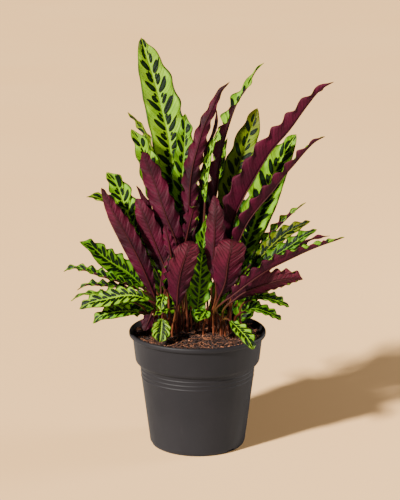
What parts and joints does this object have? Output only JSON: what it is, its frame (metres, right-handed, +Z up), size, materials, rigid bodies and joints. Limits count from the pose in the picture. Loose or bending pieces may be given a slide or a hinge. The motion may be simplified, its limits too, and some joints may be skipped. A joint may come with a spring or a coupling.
{
  "type": "potted calathea plant",
  "caption": "Potted rattlesnake calathea: spotted lance leaves with waved edges and maroon undersides on slim stalks, in a round charcoal nursery pot.",
  "frame": {"origin": "centre of the pot's flat underside, where it rests", "axes": "+Z up along the pot's axis, -Y towards the viewer of the picture, +X to the right in it"},
  "size_m": [0.3781, 0.2491, 0.561],
  "materials": {
    "pot_plastic": "satin moulded charcoal plastic",
    "potting_mix": "coarse brown coir and bark chips",
    "leaf": "satin leaf, lime green with dark spots above, maroon below, on a reddish stalk"
  },
  "bodies": {
    "root": {"pot": "pot_plastic", "potting_mix": "potting_mix", "leaf_tall_left": "leaf", "leaf_tall_left_low": "leaf", "leaf_tall_left_small": "leaf", "leaf_tall_left_twisted": "leaf", "leaf_left_broad": "leaf", "leaf_left_dark_curl": "leaf", "leaf_left_maroon_tall": "leaf", "leaf_left_maroon_middle": "leaf", "leaf_left_maroon_low": "leaf", "leaf_left_green_curl": "leaf", "leaf_centre_small_pink": "leaf", "leaf_centre_pink_edge": "leaf", "leaf_centre_bent_tip": "leaf", "leaf_front_maroon_left": "leaf", "leaf_front_maroon_right": "leaf", "leaf_front_maroon_behind": "leaf", "leaf_centre_green": "leaf", "leaf_centre_maroon_tall": "leaf", "leaf_centre_maroon_thin": "leaf", "leaf_centre_green_thin": "leaf", "leaf_centre_folded_tall": "leaf", "leaf_centre_green_twisted": "leaf", "leaf_tall_right_green": "leaf", "leaf_right_maroon_tall": "leaf", "leaf_right_maroon_middle": "leaf", "leaf_right_green_tall": "leaf", "leaf_right_thin": "leaf", "leaf_right_olive": "leaf", "leaf_right_green": "leaf", "leaf_right_folded_long": "leaf", "leaf_right_thin_back": "leaf", "leaf_right_maroon_ribbed": "leaf", "leaf_right_low_upper": "leaf", "leaf_right_low_under": "leaf", "leaf_right_shaded": "leaf", "leaf_left_fan_top": "leaf", "leaf_left_fan_second": "leaf", "leaf_left_fan_dark": "leaf", "leaf_left_fan_bright": "leaf", "leaf_left_fan_small": "leaf", "leaf_left_fan_low": "leaf", "leaf_left_fan_shaded": "leaf", "leaf_front_small_left": "leaf", "leaf_front_small_bright": "leaf", "leaf_front_small_sliver": "leaf", "leaf_front_small_maroon": "leaf", "leaf_front_small_right": "leaf", "leaf_front_small_centre": "leaf", "leaf_back_tall_left": "leaf", "leaf_back_tall_middle": "leaf", "leaf_back_tall_right": "leaf", "leaf_back_left": "leaf", "leaf_back_right": "leaf", "leaf_back_side_left": "leaf", "leaf_back_side_right": "leaf", "leaf_back_low_middle": "leaf", "leaf_back_low_left": "leaf", "leaf_back_low_right": "leaf"}
  },
  "joints": []
}
